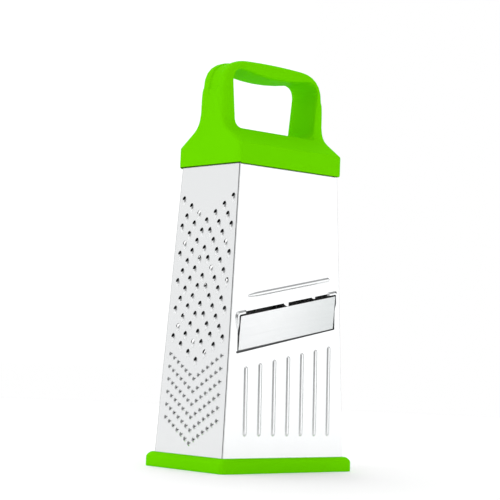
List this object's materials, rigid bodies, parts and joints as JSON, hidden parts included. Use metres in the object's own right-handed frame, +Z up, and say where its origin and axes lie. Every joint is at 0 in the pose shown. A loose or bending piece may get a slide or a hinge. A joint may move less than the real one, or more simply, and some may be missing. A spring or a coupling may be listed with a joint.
{
  "type": "box grater",
  "caption": "Tapering steel box grater with a slanted slicing blade, V-shaped rows of shredding and fine grating holes, a moulded stirrup handle cap and a moulded foot ring.",
  "frame": {"origin": "on the table, under the middle of the foot ring", "axes": "+Z up towards the handle; the wide slicing panel faces -Y; +X runs along the wide panel, and the narrow panel with shredding teeth and fine pricks faces -X"},
  "size_m": [0.1096, 0.0742, 0.254],
  "materials": {
    "lime_plastic": "satin moulded",
    "sheet_steel": "bright rolled sheet",
    "blade_steel": "ground and polished"
  },
  "bodies": {
    "root": {"handle_cap": "lime_plastic", "base_ring": "lime_plastic", "front_panel": "sheet_steel", "back_panel": "sheet_steel", "left_panel": "sheet_steel", "right_panel": "sheet_steel", "slicer_blade": "blade_steel"}
  },
  "joints": []
}
